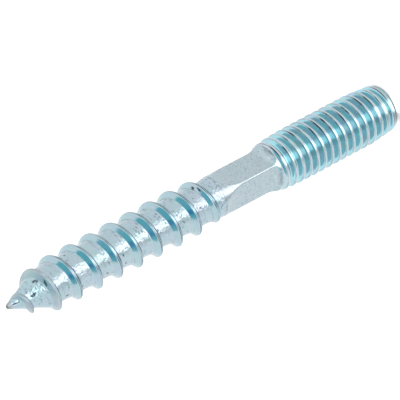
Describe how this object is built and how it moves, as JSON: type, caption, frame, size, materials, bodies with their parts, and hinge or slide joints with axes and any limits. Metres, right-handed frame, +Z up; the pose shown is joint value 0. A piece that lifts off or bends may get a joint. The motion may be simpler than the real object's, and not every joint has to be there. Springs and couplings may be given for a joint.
{
  "type": "hanger bolt",
  "caption": "Headless plated steel fastener with a coarse wood thread and gimlet point at one end, a machine thread at the other and a pressed square grip on the shank between them.",
  "frame": {"origin": "centre of the flat end face of the machine thread, on which the bolt stands", "axes": "+Z up along the bolt's axis, from the machine end to the gimlet point; +X out of one pressed flat"},
  "size_m": [0.006, 0.006, 0.0505],
  "materials": {
    "zinc_plated_steel": "bright blue passivated zinc plating, slightly pitted"
  },
  "bodies": {
    "root": {"hanger_bolt": "zinc_plated_steel"}
  },
  "joints": []
}
